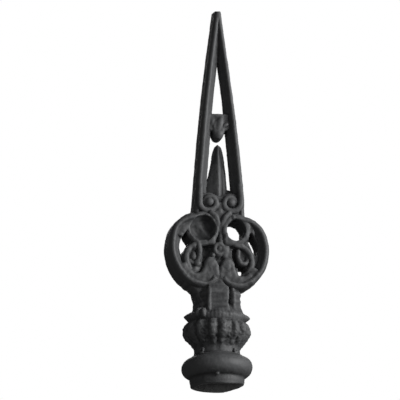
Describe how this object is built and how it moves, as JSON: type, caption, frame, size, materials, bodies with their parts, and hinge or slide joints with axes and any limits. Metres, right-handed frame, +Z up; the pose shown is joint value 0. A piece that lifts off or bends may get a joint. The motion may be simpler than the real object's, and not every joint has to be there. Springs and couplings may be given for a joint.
{
  "type": "fence finial",
  "caption": "Cast iron fence finial: a pierced heart and tall open spire on a waisted, tongued base with a socket for the post.",
  "frame": {"origin": "centre of the bounding box at the level of the foot's flat rim", "axes": "+Z up along the post and the spire, +Y away from the viewer through the thickness of the heart, +X to the viewer's right"},
  "size_m": [0.1058, 0.0742, 0.4066],
  "materials": {
    "cast_iron": "dark satin cast surface, slightly rough, worn a little lighter on the raised edges"
  },
  "bodies": {
    "root": {"finial_casting": "cast_iron"}
  },
  "joints": []
}
